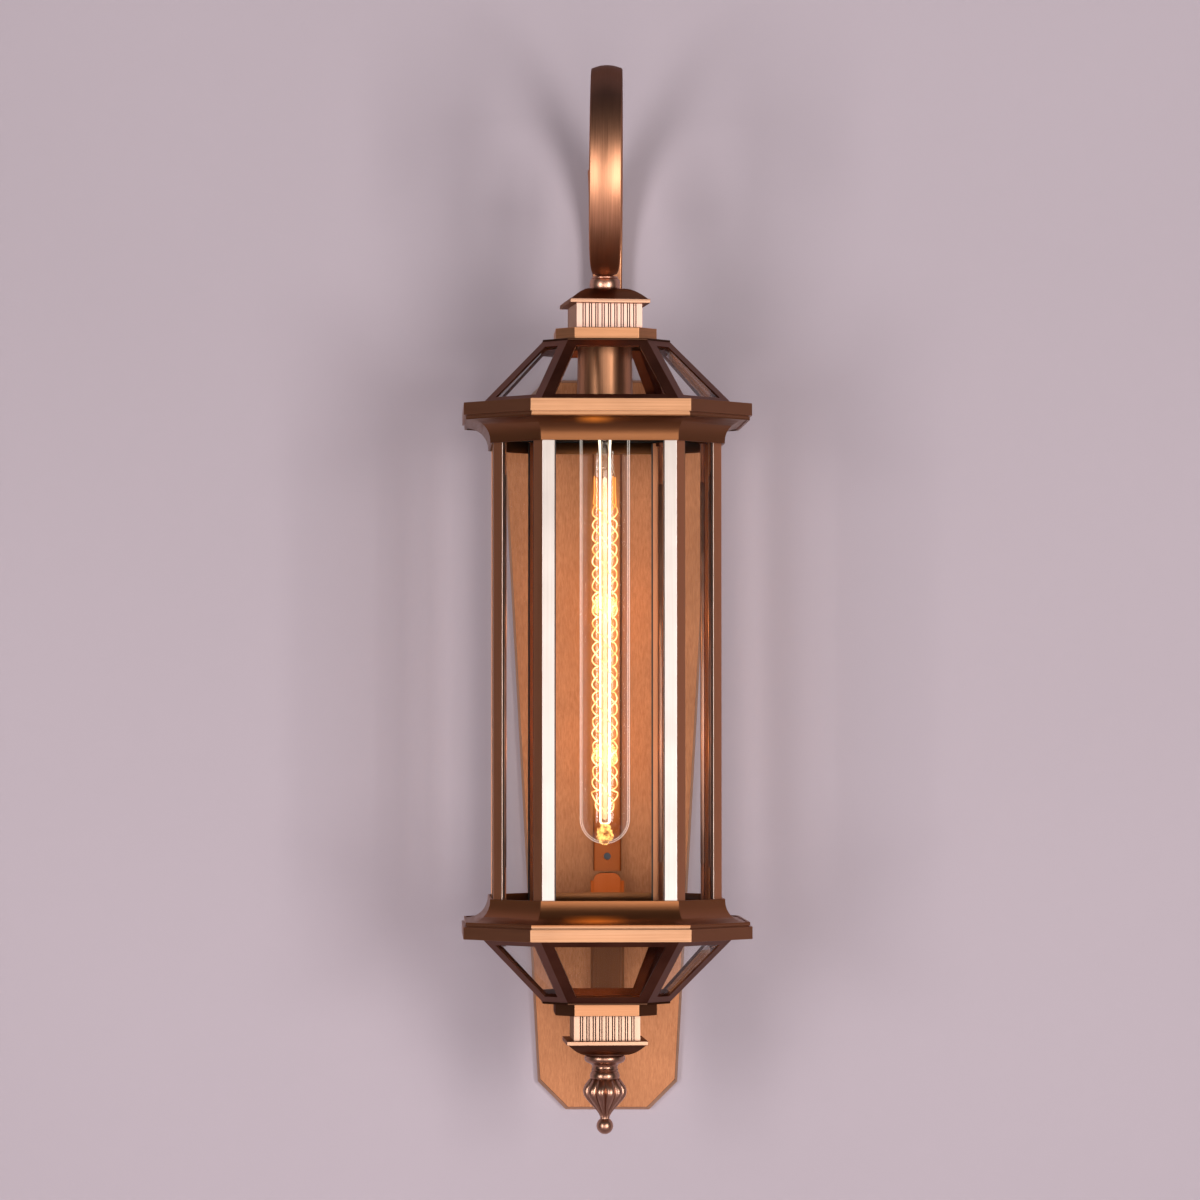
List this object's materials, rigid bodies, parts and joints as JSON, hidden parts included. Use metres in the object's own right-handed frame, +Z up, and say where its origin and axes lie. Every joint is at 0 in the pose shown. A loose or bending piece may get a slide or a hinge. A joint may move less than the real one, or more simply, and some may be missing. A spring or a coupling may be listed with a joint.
{
  "type": "outdoor wall lantern",
  "caption": "Copper wall lantern: octagonal glazed body with stepped cornices, gadrooned finial and lit tube bulb, hung from a scrolled arm on a tapered wall plate.",
  "frame": {"origin": "on the wall plane, midway between the two wall fixings in the wall plate", "axes": "+Z up, +Y into the wall, the lantern stands out towards -Y, +X to the right seen from the front"},
  "size_m": [0.1754, 0.2077, 0.6413],
  "materials": {
    "plate_copper": "brushed copper lacquer, vertical grain",
    "arm_copper": "brushed copper lacquer along the bar",
    "lantern_copper": "bright brushed copper lacquer",
    "post_copper": "bright brushed copper lacquer",
    "dark_bronze": "satin dark bronze lacquer",
    "aged_bronze": "satin bronze lacquer",
    "black_steel": "matt black",
    "zinc_steel": "plated",
    "black_rubber": "matt",
    "pane_glass": "clear, polished",
    "bulb_glass": "clear, faintly amber",
    "glowing_filament": "glowing strands on a clear glass rod",
    "cream_holder": "satin",
    "cap_nickel": "nickel plated, threaded"
  },
  "bodies": {
    "root": {"backplate": "plate_copper", "scroll_arm": "arm_copper", "arm_screws": "zinc_steel", "cable_cover": "dark_bronze", "cable_grommet": "black_rubber", "hanger_nut": "dark_bronze", "hanging_tube": "zinc_steel", "ball_collar": "dark_bronze", "top_cap": "aged_bronze", "top_neck": "lantern_copper", "top_collar": "lantern_copper", "roof_frame": "dark_bronze", "top_cornice": "lantern_copper", "top_gallery": "black_steel", "tie_rods": "dark_bronze", "bottom_gallery": "black_steel", "bottom_cornice": "lantern_copper", "base_frame": "dark_bronze", "bottom_collar": "lantern_copper", "bottom_neck": "lantern_copper", "bottom_cap": "aged_bronze", "finial": "aged_bronze", "lamp_cup": "arm_copper", "cup_nut": "zinc_steel", "lampholder": "cream_holder", "bulb_cap": "cap_nickel", "bulb_glass": "bulb_glass", "filament": "glowing_filament", "roof_pane_right": "pane_glass", "body_pane_right": "pane_glass", "base_pane_right": "pane_glass", "roof_pane_rear_right": "pane_glass", "body_pane_rear_right": "pane_glass", "base_pane_rear_right": "pane_glass", "roof_pane_rear": "pane_glass", "body_pane_rear": "pane_glass", "base_pane_rear": "pane_glass", "roof_pane_rear_left": "pane_glass", "body_pane_rear_left": "pane_glass", "base_pane_rear_left": "pane_glass", "roof_pane_left": "pane_glass", "body_pane_left": "pane_glass", "base_pane_left": "pane_glass", "roof_pane_front_left": "pane_glass", "body_pane_front_left": "pane_glass", "base_pane_front_left": "pane_glass", "roof_pane_front": "pane_glass", "body_pane_front": "pane_glass", "base_pane_front": "pane_glass", "roof_pane_front_right": "pane_glass", "body_pane_front_right": "pane_glass", "base_pane_front_right": "pane_glass", "post_1": "post_copper", "post_2": "post_copper", "post_3": "post_copper", "post_4": "post_copper", "post_5": "post_copper", "post_6": "post_copper", "post_7": "post_copper", "post_8": "post_copper"}
  },
  "joints": []
}
